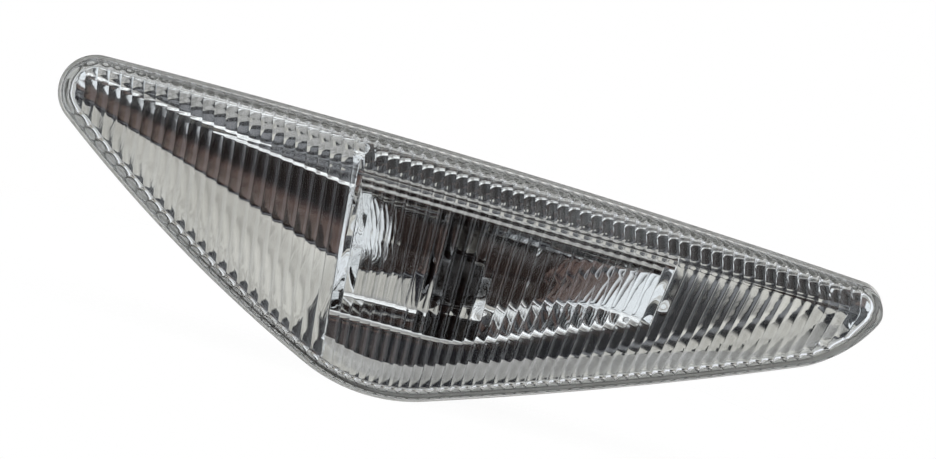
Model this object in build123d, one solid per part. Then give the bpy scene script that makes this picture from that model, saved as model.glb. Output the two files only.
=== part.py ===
from build123d import *
import os
from math import cos, hypot, radians, sin, sqrt, tan

# Frame: X runs along the lens crease, Y points back into the car, Z is up
# The plane y = 0 is where the gasket meets the car's panel, and z = 0 is the crease

# Outline seen from the front: four corner circles joined by four long arcs
lamp_length = 154.5
lamp_drop = 38.3
left_tip_radius = 6.6
left_tip_rise = 0.65
right_tip_radius = 5.1
right_tip_rise = 0.55
heel_radius = 12.5
heel_setback = 11.2
heel_drop = 1.4
knee_radius = 31.6
knee_offset = -9.55
top_edge_radius = 1830.0
end_edge_radius = 24.0
lower_right_radius = 880.0
lower_left_radius = 272.0
least_corner = 1.0

# Layers between the panel and the lens
gasket_thickness = 2.0
housing_flange = 3.2

# Lens
lens_crest = 9.0
lens_flange = 2.0
lens_rim_width = 0.6
lens_side_wall = 1.4
lens_face_wall = 2.3
lens_side_draft = 10.0
lens_edge_radius = 0.9
lens_bow_radius = 900.0
upper_slope = 20.0
lower_slope = 7.5
flute_pitch = 2.1
flute_sagitta = 0.15
flute_lean_left = 7.0
flute_lean_right = -16.0
flute_lean_upper = 12.0
tongue_width = 0.7
tongue_length = 1.2
tongue_clearance = 0.1

# Housing
flange_overhang = 0.2
flange_land = 0.5
housing_wall = 1.4
housing_floor = 1.6
gasket_width = 1.5
gasket_clearance = 0.3
gasket_setback = 1.2
back_edge_radius = 1.0

# Reflector
reflector_wall = 1.2
reflector_rim = 2.0
reflector_depth = 1.8
reflector_clearance = 0.2
rim_clamp = 0.3
rim_ledge = 0.1
wall_setback = 1.4
rib_offset = -22.6
rib_lean = 4.6
rib_thickness = 1.4
rib_lens_gap = 1.2
crest_height = 1.6
crest_drop = 3.15
crest_lean = 6.8
crest_radius = 0.7
shelf_slope = 20.0
crest_band = 2.6
scoop_depth = 4.7
scoop_span = 12.2
scoop_fullness = 0.69
scoop_cone = 82.0
scoop_run_out = 12.0
bowl_left = -19.0
bowl_length = 54.5
bowl_waist = 22.0
bowl_top_drop = 3.0
bowl_height = 22.5
bowl_end_height = 9.0
bowl_depth = 6.0
bowl_end_depth = 3.0
bowl_left_slant = 8.0
bowl_right_slant = 12.0
bowl_lip_height = 0.8
pan_clearance = 0.5
pan_room = 5.6

# Bulb and its quarter-turn holder
bulb_offset = 1.0
bulb_diameter = 10.0
bulb_length = 26.8
bulb_base_width = 9.5
bulb_base_thickness = 2.5
bulb_base_length = 9.2
bulb_shoulder_radius = 3.6
bulb_shoulder_length = 3.8
bulb_hole_clearance = 1.0
lead_wire_diameter = 0.4
lead_wire_length = 6.0
base_clearance = 0.3
holder_neck_diameter = 16.6
holder_fit = 0.3
lug_height = 2.0
lug_thickness = 1.8
lug_half_angle = 17.0
lug_angle = 90.0
notch_clearance_angle = 3.0
unlock_angle = 45.0
stop_clearance_angle = 2.5
stop_angle = 6.0
lug_headroom = 6.0
boss_height = 1.5
boss_wall = 1.9
seal_thickness = 1.5
seal_width = 1.5
holder_flange = 2.2
holder_flange_lip = 0.6
grip_length = 9.0
grip_thickness = 3.2
grip_radius = 1.2
socket_width = 17.0
socket_height = 10.0
socket_length = 14.0
socket_wall = 1.5
socket_depth = 9.5
socket_corner = 2.0
contact_spacing = 7.2
contact_width = 2.4
contact_thickness = 0.5
contact_fit = 0.05
contact_lead = 1.0
contact_jog = 1.6
contact_bend = 0.5
blade_recess = 1.5
wire_gap = 0.02

# Panel fixings: a fixed hook on the left and a leaf spring on the right
panel_grip = 3.2
hook_reach = 2.6
hook_height = 5.0
hook_thickness = 3.0
hook_lead = 1.2
post_setback = 6.5
post_thickness = 1.6
post_length = 10.0
post_width = 8.0
post_drop = 4.5
spring_thickness = 0.5
spring_gap = 0.05
spring_bump = 2.2
spring_bend = 0.8
spring_lead = 3.0

# Stations along Y
flange_back = -gasket_thickness
lens_seat = flange_back - housing_flange
lens_flange_front = lens_seat - lens_flange
crest_line = lens_seat - lens_crest
reflector_rim_back = lens_seat + reflector_rim
floor_front = lens_seat + reflector_depth
floor_back = floor_front + reflector_wall
crest_front = lens_seat - crest_height
scoop_back = crest_front + scoop_depth
bowl_apex = floor_front + bowl_depth
left_back = max(scoop_back, floor_front) + reflector_wall
pan_floor = left_back + pan_room
pan_back = pan_floor + housing_floor
lug_front = bowl_apex + reflector_wall + lug_headroom
tub_floor = lug_front + lug_thickness + holder_fit
tub_back = tub_floor + housing_floor
boss_face = tub_back + boss_height
seal_back = boss_face + seal_thickness
holder_flange_back = seal_back + holder_flange
socket_back = holder_flange_back + socket_length
socket_floor = socket_back - socket_depth
base_back = lug_front + bulb_base_length
pocket_floor = base_back + base_clearance
bulb_tip = base_back - bulb_length

# Insets from the outline
lens_wall_inset = lens_rim_width
lens_cavity_inset = lens_rim_width + lens_side_wall
flange_inset = flange_overhang
groove_inset = flange_inset + flange_land
tongue_inset = groove_inset + tongue_clearance
groove_inner_inset = tongue_inset + tongue_width + tongue_clearance
rim_inset = lens_cavity_inset - rim_clamp
rebate_inset = rim_inset - reflector_clearance
gasket_inset = flange_inset + gasket_setback
pan_inset = gasket_inset + gasket_width + gasket_clearance
pan_inner_inset = pan_inset + housing_wall
reflector_inset = pan_inner_inset + reflector_clearance
mirror_edge_inset = lens_cavity_inset + rim_ledge
mirror_floor_inset = reflector_inset + wall_setback
draft_setback = lens_crest * tan(radians(lens_side_draft))
bulb_drop = bowl_top_drop + bowl_height / 2
contact_outer = bulb_base_thickness / 2 + 2 * wire_gap + lead_wire_diameter + contact_thickness
neck_radius = holder_neck_diameter / 2
lug_radius = neck_radius + lug_height
notch_radius = lug_radius + holder_fit
seal_inner_radius = notch_radius + holder_fit
seal_outer_radius = seal_inner_radius + seal_width
boss_radius = notch_radius + boss_wall
holder_flange_radius = seal_outer_radius + holder_flange_lip

# Reach of the cutting blocks, always well past the lamp
FAR = lamp_length


def meeting_point(first, first_distance, second, second_distance, near):
    """Point at two given distances from two centres, the one nearer to a third point."""
    gap = hypot(second[0] - first[0], second[1] - first[1])
    along = (first_distance**2 - second_distance**2 + gap**2) / (2 * gap)
    across = sqrt(first_distance**2 - along**2)
    ux = (second[0] - first[0]) / gap
    uz = (second[1] - first[1]) / gap
    options = []
    for side in (across, -across):
        options.append((first[0] + along * ux - side * uz, first[1] + along * uz + side * ux))
    return min(options, key=lambda p: hypot(p[0] - near[0], p[1] - near[1]))


def point_towards(centre, target, distance):
    """Point at a distance from a centre in the direction of a target."""
    length = hypot(target[0] - centre[0], target[1] - centre[1])
    scale_by = distance / length
    return (centre[0] + (target[0] - centre[0]) * scale_by, centre[1] + (target[1] - centre[1]) * scale_by)


def corner_circles():
    """Corner circles as ((x, z), radius), clockwise from the left tip."""
    right_tip = (lamp_length / 2 - right_tip_radius, right_tip_rise)
    return [
        ((-lamp_length / 2 + left_tip_radius, left_tip_rise), left_tip_radius),
        (right_tip, right_tip_radius),
        ((right_tip[0] - heel_setback, right_tip[1] - heel_drop), heel_radius),
        ((knee_offset, knee_radius - lamp_drop), knee_radius),
    ]


def edge_arcs():
    """Long arcs as (centre, radius); arc k runs from corner k to corner k + 1 and holds both."""
    corners = corner_circles()
    radii = [top_edge_radius, end_edge_radius, lower_right_radius, lower_left_radius]
    arcs = []
    for k, radius in enumerate(radii):
        (start, start_radius), (end, end_radius) = corners[k], corners[(k + 1) % len(corners)]
        inward = (start[0] + (end[1] - start[1]), start[1] - (end[0] - start[0]))
        centre = meeting_point(start, radius - start_radius, end, radius - end_radius, inward)
        arcs.append((centre, radius))
    return arcs


def outline_edges(inset, y):
    """Arcs of the lamp outline moved inwards by an inset, on the plane at y."""
    corners = corner_circles()
    arcs = edge_arcs()
    count = len(corners)
    rounds = []
    for k, (middle, radius) in enumerate(corners):
        before, after = arcs[k - 1], arcs[k]
        corner = max(radius - inset, least_corner)
        reach = inset + corner
        centre = meeting_point(before[0], before[1] - reach, after[0], after[1] - reach, middle)
        rounds.append((centre, corner))
    edges = []
    for k, (centre, radius) in enumerate(arcs):
        here, there = rounds[k], rounds[(k + 1) % count]
        start = point_towards(centre, here[0], radius - inset)
        end = point_towards(centre, there[0], radius - inset)
        chord_middle = ((start[0] + end[0]) / 2, (start[1] + end[1]) / 2)
        crown = point_towards(centre, chord_middle, radius - inset)
        edges.append(arc_at(y, start, crown, end))
        next_centre, next_radius = arcs[(k + 1) % count]
        leave = point_towards(next_centre, there[0], next_radius - inset)
        outward = (end[0] + leave[0] - 2 * there[0][0], end[1] + leave[1] - 2 * there[0][1])
        target = (there[0][0] + outward[0], there[0][1] + outward[1])
        edges.append(arc_at(y, end, point_towards(there[0], target, there[1]), leave))
    return edges


def arc_at(y, start, middle, end):
    """Arc through three (x, z) points on the plane at y."""
    return ThreePointArc((start[0], y, start[1]), (middle[0], y, middle[1]), (end[0], y, end[1]))


def outline_wire(inset, y):
    return Wire(outline_edges(inset, y))


def prism(inset, back, front):
    """Straight block with the lamp's outline between two stations."""
    return Solid.extrude(Face(outline_wire(inset, back)), Vector(0, front - back, 0))


def drafted(back_inset, back, front_inset, front):
    """Block whose outline changes its inset evenly between two stations."""
    return Solid.make_loft([outline_wire(back_inset, back), outline_wire(front_inset, front)], ruled=True)


def front_plane(y):
    """Sketch plane at y, seen from the front: its x is X and its y is Z."""
    return Plane(origin=(0, y, 0), x_dir=(1, 0, 0), z_dir=(0, -1, 0))


def slab(sketch, back, front):
    """Front-view sketch pushed from a back station to a front station."""
    return extrude(front_plane(back) * sketch, amount=back - front)


def bulb_axis(sketch):
    """Front-view sketch moved onto the bulb's axis."""
    return Pos(bulb_offset, -bulb_drop) * sketch


def rib_at(z):
    """X of the divider rib's middle at a height."""
    return rib_offset - z * tan(radians(rib_lean))


def side_of_rib(side):
    """Everything on one side of the divider rib: -1 is left and 1 is right."""
    points = [(rib_at(FAR), FAR), (rib_at(-FAR), -FAR), (side * FAR, -FAR), (side * FAR, FAR)]
    return slab(make_face(Polyline(*points, close=True)), FAR, -FAR)


def bowed_front(y, x):
    """Station of a surface that lies at y in the middle and falls back towards the ends."""
    return y + x**2 / (2 * lens_bow_radius)


def behind_facet(slope):
    """Everything behind a bowed lens facet that leaves the crease at a slope."""
    ends = bowed_front(crest_line, FAR)
    arc = ThreePointArc((-FAR, ends), (0, crest_line), (FAR, ends))
    sides = Polyline((FAR, ends), (FAR, 2 * FAR), (-FAR, 2 * FAR), (-FAR, ends))
    run = Vector(0, FAR * tan(radians(slope)), FAR)
    face = Face(Wire([*arc.edges(), *sides.edges()])).moved(Location(-run))
    return Solid.extrude(face, run * 2)


def flute_lean(x):
    """Lean of a flute below the crease: even in the left part, fanning out in the right part."""
    share = (x - rib_offset) / (lamp_length / 2 - rib_offset)
    return flute_lean_left + (flute_lean_right - flute_lean_left) * min(max(share, 0), 1)


def flute_section(z, slope, lean):
    """Scalloped wire on the level z: the flutes bulge back and their cusps point forward."""
    count = int(lamp_length / flute_pitch) + 2
    first = -count / 2 * flute_pitch
    cusps = []
    for k in range(count + 1):
        x = first + k * flute_pitch
        x += abs(z) * tan(radians(lean(x)))
        face = bowed_front(crest_line, x) + abs(z) * tan(radians(slope))
        cusps.append((x, face + lens_face_wall, z))
    edges = []
    for a, b in zip(cusps, cusps[1:]):
        swell = ((a[0] + b[0]) / 2, (a[1] + b[1]) / 2 + flute_sagitta, z)
        edges.append(ThreePointArc(a, swell, b))
    start, end = cusps[0], cusps[-1]
    sides = Polyline(end, (end[0], FAR, z), (start[0], FAR, z), start)
    return Wire([*edges, *sides.edges()])


def behind_flutes():
    """Everything behind the fluted inner face of the lens."""
    below = flute_section(-lamp_drop, lower_slope, flute_lean)
    crease = flute_section(0, upper_slope, flute_lean)
    above = flute_section(lens_crest + left_tip_radius, upper_slope, lambda x: -flute_lean_upper)
    return Solid.make_loft([below, crease, above], ruled=True)


def outer_lens():
    shell = prism(lens_wall_inset, lens_flange_front, lens_flange_front - lens_crest)
    shell = shell & behind_facet(upper_slope) & behind_facet(-lower_slope)
    front_edges = [e for e in shell.edges() if all(v.Y < lens_flange_front for v in e.vertices())]
    shell = fillet(front_edges, lens_edge_radius)
    flange = prism(0, lens_seat, lens_flange_front)
    cavity = drafted(lens_cavity_inset, lens_seat, lens_cavity_inset + draft_setback, lens_seat - lens_crest)
    cavity = cavity & behind_flutes()
    tongue = prism(tongue_inset, lens_seat + tongue_length, lens_seat)
    tongue = tongue - prism(tongue_inset + tongue_width, lens_seat + tongue_length, lens_seat)
    return shell + flange + tongue - cavity


def tub_sketch(grow):
    """Rounded outline around the bowl, seen from the front."""
    right = bowl_left + bowl_length
    low = -bowl_top_drop - bowl_height - grow
    end_low = -bowl_top_drop - bowl_end_height - grow
    points = [
        (bowl_left - grow, -bowl_top_drop + grow),
        (right + grow, -bowl_top_drop + grow),
        (right + grow, end_low),
        (bowl_left + bowl_waist + grow, low),
        (bowl_left - grow, low),
    ]
    sketch = make_face(Polyline(*points, close=True))
    return fillet(sketch.vertices(), grow)


def ring_sector(inner, outer, middle_angle, half_angle):
    """Part of a ring around the bulb's axis, angles counted from +X towards +Z."""
    far = outer / cos(radians(half_angle))
    corners = [(0, 0)]
    for angle in (middle_angle - half_angle, middle_angle + half_angle):
        corners.append((2 * far * cos(radians(angle)), 2 * far * sin(radians(angle))))
    return bulb_axis((Circle(outer) - Circle(inner)) & make_face(Polyline(*corners, close=True)))


def lug_places():
    return [lug_angle, lug_angle + 180]


def hook():
    """Fixed hook on the pan's left end that goes behind the panel."""
    wall = -lamp_length / 2 + pan_inset
    tip = wall - hook_reach
    back = panel_grip + hook_thickness
    root = wall + housing_wall
    points = [
        (root, panel_grip),
        (tip, panel_grip),
        (tip, back - hook_lead),
        (tip + hook_lead, back),
        (root, back),
    ]
    face = make_face(Polyline(*points, close=True))
    block = extrude(face, amount=hook_height)
    return Pos(0, 0, left_tip_rise - hook_height / 2) * block


def spring_post():
    """Upright tab behind the pan's right end that carries the leaf spring."""
    x = lamp_length / 2 - pan_inset - post_setback
    middle = (x, (pan_floor + pan_back + post_length) / 2, right_tip_rise - post_drop)
    size = (post_thickness, pan_back + post_length - pan_floor, post_width)
    return Pos(*middle) * Box(*size)


def housing_tub(grow, back, front, inset):
    """Deeper part of the housing around the bowl, kept inside the lamp's outline."""
    return slab(tub_sketch(grow), back, front) & prism(inset, back, front)


def rounded_back(block):
    """Block with the edges of its back face rounded."""
    return fillet(block.faces().sort_by(Axis.Y)[-1].edges(), back_edge_radius)


def rear_housing():
    tub_grow = reflector_wall + pan_clearance
    body = prism(flange_inset, flange_back, lens_seat)
    body = body + rounded_back(prism(pan_inset, pan_back, flange_back))
    body = body + rounded_back(housing_tub(tub_grow + housing_wall, tub_back, pan_floor, pan_inset))
    body = body + slab(bulb_axis(Circle(boss_radius)), boss_face, tub_floor) + hook() + spring_post()
    body = body - prism(rebate_inset, reflector_rim_back, lens_seat)
    body = body - prism(pan_inner_inset, pan_floor, lens_seat)
    body = body - housing_tub(tub_grow, tub_floor, flange_back, pan_inner_inset)
    groove_back = lens_seat + tongue_length + tongue_clearance
    groove = prism(groove_inset, groove_back, lens_seat) - prism(groove_inner_inset, groove_back, lens_seat)
    body = body - groove
    body = body - slab(bulb_axis(Circle(neck_radius + holder_fit)), boss_face, lug_front)
    for angle in lug_places():
        notch_half = lug_half_angle + notch_clearance_angle
        notch = ring_sector(neck_radius / 2, notch_radius, angle - unlock_angle, notch_half)
        body = body - slab(notch, boss_face, lug_front)
        for stop_at in stop_places(angle):
            stop = ring_sector(neck_radius + holder_fit, lug_radius, stop_at, stop_angle / 2)
            body = body + slab(stop, tub_floor, lug_front)
    return body


def stop_places(angle):
    """Angles of the two ribs that end a lug's quarter turn."""
    room = lug_half_angle + stop_clearance_angle + stop_angle / 2
    return [angle + room, angle - unlock_angle - room]


def scoop_section(along, back):
    """Section in front of the left scoop, at a distance along the crest from the rib and moved back."""
    size = 1 + along / scoop_cone
    step = crest_radius / 2
    low = crest_radius + scoop_span * size
    depth = scoop_depth * size
    front = -2 * lens_crest
    run = 2 * lamp_drop
    scoop_start = (-crest_radius, step + back)
    scoop_middle = (-crest_radius - scoop_span * size / 2, depth * scoop_fullness + back)
    scoop_end = (-low, depth + back)
    run_end = (-run, depth - (run - low) * tan(radians(scoop_run_out)) + back)
    band_start = (step, back)
    band_end = (crest_band, back)
    shelf_end = (run, (run - crest_band) * tan(radians(shelf_slope)) + back)
    edges = [
        Line(run_end, scoop_end),
        ThreePointArc(scoop_end, scoop_middle, scoop_start),
        ThreePointArc(scoop_start, (-step / 2, back), band_start),
        *Polyline(band_start, band_end, shelf_end, (run, front), (-run, front), run_end).edges(),
    ]
    lean = radians(crest_lean)
    crest_way = Vector(cos(lean), 0, -sin(lean))
    origin = Vector(rib_offset, crest_front, -crest_drop) + crest_way * along
    plane = Plane(origin=origin, x_dir=Vector(sin(lean), 0, cos(lean)), z_dir=-crest_way)
    return (plane * make_face(edges)).face().outer_wire()


def in_front_of_scoop(back):
    """Space in front of the left scoop, which narrows along the leaning crest towards the left tip."""
    return Solid.make_loft([scoop_section(scoop_cone / 4, back), scoop_section(-0.85 * scoop_cone, back)], ruled=True)


def bowl_section(x, top, height, depth, front):
    """Parabola section of the bowl at x, closed at a front station."""
    rim_high = (x, floor_front, top)
    rim_low = (x, floor_front, top - height)
    pull = (x, floor_front + 2 * depth, top - height / 2)
    sides = Polyline(rim_low, (x, front, top - height), (x, front, top), rim_high)
    return Wire([*Bezier(rim_high, pull, rim_low).edges(), *sides.edges()])


def bowl(grow, front):
    """Long bowl opened up to a front station, larger by an even growth."""
    left = bowl_left - grow
    right = bowl_left + bowl_length + grow
    waist = bowl_left + bowl_waist
    top = -bowl_top_drop + grow
    full = (top, bowl_height + 2 * grow, bowl_depth + grow, front)
    end = (top, bowl_end_height + 2 * grow, bowl_end_depth + grow, front)
    trough = Solid.make_loft([bowl_section(left, *full), bowl_section(waist, *full)], ruled=True)
    tail = Solid.make_loft([bowl_section(waist, *full), bowl_section(right, *end)], ruled=True)
    deep = bowl_apex + grow
    points = [
        (left, front),
        (left, floor_front),
        (left + bowl_left_slant, deep),
        (right - bowl_right_slant, deep),
        (right, floor_front),
        (right, front),
    ]
    ends = extrude(make_face(Polyline(*points, close=True)), amount=FAR, both=True)
    return (trough + tail) & ends


def divider_rib():
    """Upright rib between the two compartments, its front following the lens."""
    crest = bowed_front(crest_line, rib_offset) + lens_face_wall + rib_lens_gap
    back = left_back
    points = [
        (back, -lamp_drop),
        (crest + lamp_drop * tan(radians(lower_slope)), -lamp_drop),
        (crest, 0),
        (crest + lens_crest * tan(radians(upper_slope)), lens_crest),
        (back, lens_crest),
    ]
    side_view = Plane.YZ * make_face(Polyline(*points, close=True))
    plate = extrude(side_view, amount=rib_thickness / 2, both=True)
    plate = Pos(rib_offset, 0, 0) * Rot(0, rib_lean, 0) * plate
    lens_side = prism(lens_cavity_inset + draft_setback + rim_ledge, lens_seat, lens_seat - lens_crest)
    return plate & (lens_side + prism(reflector_inset, back, lens_seat))


def reflector():
    left = side_of_rib(-1)
    right = side_of_rib(1)
    rim = prism(rim_inset, reflector_rim_back, lens_seat)
    frame = rim - prism(mirror_floor_inset, reflector_rim_back, lens_seat)
    left_shell = (prism(reflector_inset, left_back, reflector_rim_back) + rim) & in_front_of_scoop(reflector_wall)
    left_shell = left_shell + frame + prism(lens_cavity_inset + draft_setback, lens_seat, crest_front)
    left_shell = left_shell & left
    left_hollow = drafted(mirror_floor_inset, floor_front, mirror_edge_inset, lens_seat)
    left_hollow = left_hollow + prism(mirror_floor_inset, left_back, floor_front)
    left_hollow = left_hollow + prism(0, lens_seat, crest_front)
    left_hollow = left_hollow & in_front_of_scoop(0) & left
    floor = (prism(reflector_inset, floor_back, reflector_rim_back) + rim) & right
    right_hollow = drafted(mirror_floor_inset, floor_front, mirror_edge_inset, lens_seat) & right
    lip_front = floor_front - bowl_lip_height
    body = (left_shell - left_hollow) + (floor - right_hollow) + divider_rib()
    body = body + bowl(reflector_wall, lip_front)
    body = body - bowl(0, lip_front)
    return body - slab(bulb_axis(Circle(bulb_diameter / 2 + bulb_hole_clearance)), tub_floor, floor_front)


def panel_gasket():
    outer = prism(gasket_inset, 0, flange_back)
    return outer - prism(gasket_inset + gasket_width, 0, flange_back)


def contact_offsets():
    """Side of the bulb's base that each contact serves: across X, and up or down."""
    return [(-contact_spacing / 2, 1), (contact_spacing / 2, -1)]


def bulb_holder():
    body = slab(bulb_axis(Circle(neck_radius)), seal_back, lug_front)
    for angle in lug_places():
        lug = ring_sector(neck_radius / 2, lug_radius, angle, lug_half_angle)
        body = body + slab(lug, lug_front + lug_thickness, lug_front)
    body = body + slab(bulb_axis(Circle(holder_flange_radius)), holder_flange_back, seal_back)
    grip = RectangleRounded(2 * holder_flange_radius - grip_thickness, grip_thickness, grip_radius)
    body = body + slab(bulb_axis(grip), holder_flange_back + grip_length, holder_flange_back)
    shroud = RectangleRounded(socket_width, socket_height, socket_corner)
    body = body + slab(bulb_axis(shroud), socket_back, holder_flange_back)
    inner_width = socket_width - 2 * socket_wall
    inner_height = socket_height - 2 * socket_wall
    hollow = RectangleRounded(inner_width, inner_height, socket_corner / 2)
    body = body - slab(bulb_axis(hollow), socket_back, socket_floor)
    pocket = Rectangle(bulb_base_width + 2 * base_clearance, 2 * (contact_outer + base_clearance))
    body = body - slab(bulb_axis(pocket), pocket_floor, lug_front)
    for across, side in contact_offsets():
        height = contact_outer + contact_thickness / 2 + 2 * contact_fit
        middle = side * (contact_outer - contact_thickness / 2) / 2
        channel = Pos(across, middle) * Rectangle(contact_width + 2 * contact_fit, height)
        body = body - slab(bulb_axis(channel), socket_floor, pocket_floor)
    return body


def holder_seal():
    ring = Circle(seal_outer_radius) - Circle(seal_inner_radius)
    return slab(bulb_axis(ring), seal_back, boss_face)


def wedge_bulb():
    radius = bulb_diameter / 2
    dome = bulb_tip + radius
    shoulder = lug_front - contact_fit
    profile = [
        (0, bulb_tip),
        (0, shoulder),
        (bulb_shoulder_radius, shoulder),
        (radius, shoulder - bulb_shoulder_length),
        (radius, dome),
    ]
    tip = CenterArc((0, dome), radius, 270, 90)
    glass = revolve(make_face([*Polyline(*profile).edges(), tip]), Axis.Y)
    base = Box(bulb_base_width, base_back - shoulder, bulb_base_thickness)
    base = Pos(0, (shoulder + base_back) / 2, 0) * base
    return Pos(bulb_offset, 0, -bulb_drop) * (glass + base)


def bulb_lead_wires():
    reach = bulb_base_thickness / 2 + wire_gap + lead_wire_diameter / 2
    wires = []
    for across, side in contact_offsets():
        spot = Pos(across, side * reach) * Circle(lead_wire_diameter / 2)
        wires.append(slab(bulb_axis(spot), base_back, base_back - lead_wire_length))
    return Compound(children=wires)


def contact_blades():
    blades = []
    centre = contact_outer - contact_thickness / 2
    for across, side in contact_offsets():
        points = [
            (lug_front + contact_lead, side * centre),
            (pocket_floor + contact_bend, side * centre),
            (pocket_floor + contact_bend + contact_jog, 0),
            (socket_back - blade_recess, 0),
        ]
        strip = Plane.YZ * trace(FilletPolyline(*points, radius=contact_bend), contact_thickness)
        blade = extrude(strip, amount=contact_width / 2, both=True)
        blades.append(Pos(bulb_offset + across, 0, -bulb_drop) * blade)
    return Compound(children=blades)


def retaining_spring():
    post = lamp_length / 2 - pan_inset - post_setback
    away = post_thickness / 2 + spring_gap + spring_thickness / 2
    edge = lamp_length / 2 - pan_inset + spring_thickness
    turn = pan_back + post_length + spring_bend
    points = [
        (post - away, pan_back + spring_lead),
        (post - away, turn),
        (post + away, turn),
        (post + away, turn - spring_lead),
        (edge + spring_bump, panel_grip + spring_bump),
        (edge, panel_grip + spring_thickness / 2),
    ]
    strip = trace(FilletPolyline(*points, radius=spring_bend), spring_thickness)
    leaf = extrude(strip, amount=post_width / 2, both=True)
    return Pos(0, 0, right_tip_rise - post_drop) * leaf


PARTS = {
    "outer_lens": outer_lens,
    "rear_housing": rear_housing,
    "reflector": reflector,
    "panel_gasket": panel_gasket,
    "bulb_holder": bulb_holder,
    "holder_seal": holder_seal,
    "wedge_bulb": wedge_bulb,
    "bulb_lead_wires": bulb_lead_wires,
    "contact_blades": contact_blades,
    "retaining_spring": retaining_spring,
}

if __name__ == "__main__":
    os.makedirs("parts", exist_ok=True)
    for name, make in PARTS.items():
        export_step(make(), f"parts/{name}.step")
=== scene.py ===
# %% [markdown]
# # A side repeater lamp
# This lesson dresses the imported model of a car's side repeater: a clear, wing-shaped lens over a
# mirror-bright reflector, in a moulded housing that carries a quarter-turn bulb holder. The
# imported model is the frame. It fixes where every piece sits, and the lesson adds finer shapes and
# real finishes around it.

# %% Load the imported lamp
from functools import lru_cache
from math import atan2, cos, hypot, pi, radians, sin, sqrt, tan

import bmesh
import bpy
import numpy as np
from mathutils import Matrix, Vector


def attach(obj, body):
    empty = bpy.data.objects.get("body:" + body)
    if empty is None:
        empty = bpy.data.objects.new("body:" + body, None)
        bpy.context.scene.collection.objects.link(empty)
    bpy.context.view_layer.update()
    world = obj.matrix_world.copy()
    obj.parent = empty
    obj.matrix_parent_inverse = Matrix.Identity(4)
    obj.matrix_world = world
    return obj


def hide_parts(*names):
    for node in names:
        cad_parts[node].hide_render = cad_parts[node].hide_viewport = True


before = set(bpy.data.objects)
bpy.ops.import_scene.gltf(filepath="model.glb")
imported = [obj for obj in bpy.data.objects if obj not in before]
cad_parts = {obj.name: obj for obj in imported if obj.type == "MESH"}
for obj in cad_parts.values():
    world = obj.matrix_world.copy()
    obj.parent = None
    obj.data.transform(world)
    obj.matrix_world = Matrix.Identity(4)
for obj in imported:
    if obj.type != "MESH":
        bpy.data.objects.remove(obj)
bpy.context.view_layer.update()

scene = bpy.context.scene
scene.view_settings.view_transform = "Standard"
MM = 0.001
print("nodes:", sorted(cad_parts))

# %% [markdown]
# ## The outline
# Seen from the front, the lamp is four corner circles joined by four long arcs that touch them
# smoothly. Every layer of the lamp follows this outline at its own inset, so one helper serves
# the lens, its rim and the reflector. A ring is a closed row of points, and point number n keeps
# its place on every ring, so two rings can be joined by plain quads. Lengths are in millimetres,
# as on a drawing: x runs along the lamp and z is up.

# %% Outline values
LAMP_LENGTH = 154.5
LEAST_CORNER = 1.0
CORNERS = [
    ((-70.65, 0.65), 6.6),
    ((72.15, 0.55), 5.1),
    ((60.95, -0.85), 12.5),
    ((-9.55, -6.7), 31.6),
]
EDGE_RADII = [1830.0, 24.0, 880.0, 272.0]
ARC_STEPS = 360
CORNER_STEPS = 120
RING_STEPS = 4 * (ARC_STEPS + CORNER_STEPS)
print("rings of", RING_STEPS, "points")


# %% Shares and blends
def share_of(value, start, end):
    """How far a value has come from a start to an end, from 0 to 1."""
    return np.clip((value - start) / (end - start), 0, 1)


def blend(low, high, share):
    return low + (high - low) * share


print("half way:", blend(0.0, 10.0, share_of(1.5, 1.0, 2.0)))


# %% Outline rings
def meeting_point(first, first_distance, second, second_distance, near):
    """Point at two given distances from two centres, the one nearer to a third point."""
    gap = hypot(second[0] - first[0], second[1] - first[1])
    along = (first_distance**2 - second_distance**2 + gap**2) / (2 * gap)
    across = sqrt(first_distance**2 - along**2)
    ux, uz = (second[0] - first[0]) / gap, (second[1] - first[1]) / gap
    options = [
        (first[0] + along * ux - side * uz, first[1] + along * uz + side * ux)
        for side in (across, -across)
    ]
    return min(options, key=lambda p: hypot(p[0] - near[0], p[1] - near[1]))


def edge_arcs():
    """Centre and radius of the long arc that runs from each corner to the next."""
    arcs = []
    for k, radius in enumerate(EDGE_RADII):
        (start, start_radius), (end, end_radius) = CORNERS[k], CORNERS[(k + 1) % 4]
        inward = (start[0] + end[1] - start[1], start[1] - end[0] + start[0])
        centre = meeting_point(start, radius - start_radius, end, radius - end_radius, inward)
        arcs.append((centre, radius))
    return arcs


def bearing(centre, target):
    return atan2(target[1] - centre[1], target[0] - centre[0])


def arc_points(centre, radius, start, end, steps):
    """Points of an arc that runs clockwise, without its last point."""
    turn = (start - end) % (2 * pi)
    angle = start - turn * np.arange(steps) / steps
    return np.stack(
        [centre[0] + radius * np.cos(angle), centre[1] + radius * np.sin(angle)], axis=1
    )


@lru_cache(maxsize=None)
def outline_ring(inset):
    """The outline moved inwards, a closed ring of points from the left end of the top edge."""
    inset = round(inset, 4)
    arcs = edge_arcs()
    rounds = []
    for k, (middle, radius) in enumerate(CORNERS):
        before, after = arcs[k - 1], arcs[k]
        corner = max(radius - inset, LEAST_CORNER)
        reach = inset + corner
        arms = (before[0], before[1] - reach, after[0], after[1] - reach)
        rounds.append((meeting_point(*arms, middle), corner))
    runs = []
    for k, (centre, radius) in enumerate(arcs):
        here, there = rounds[k], rounds[(k + 1) % 4]
        start, arrive = bearing(centre, here[0]), bearing(centre, there[0])
        leave = bearing(arcs[(k + 1) % 4][0], there[0])
        runs.append(arc_points(centre, radius - inset, start, arrive, ARC_STEPS))
        runs.append(arc_points(*there, arrive, leave, CORNER_STEPS))
    return np.concatenate(runs)


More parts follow.
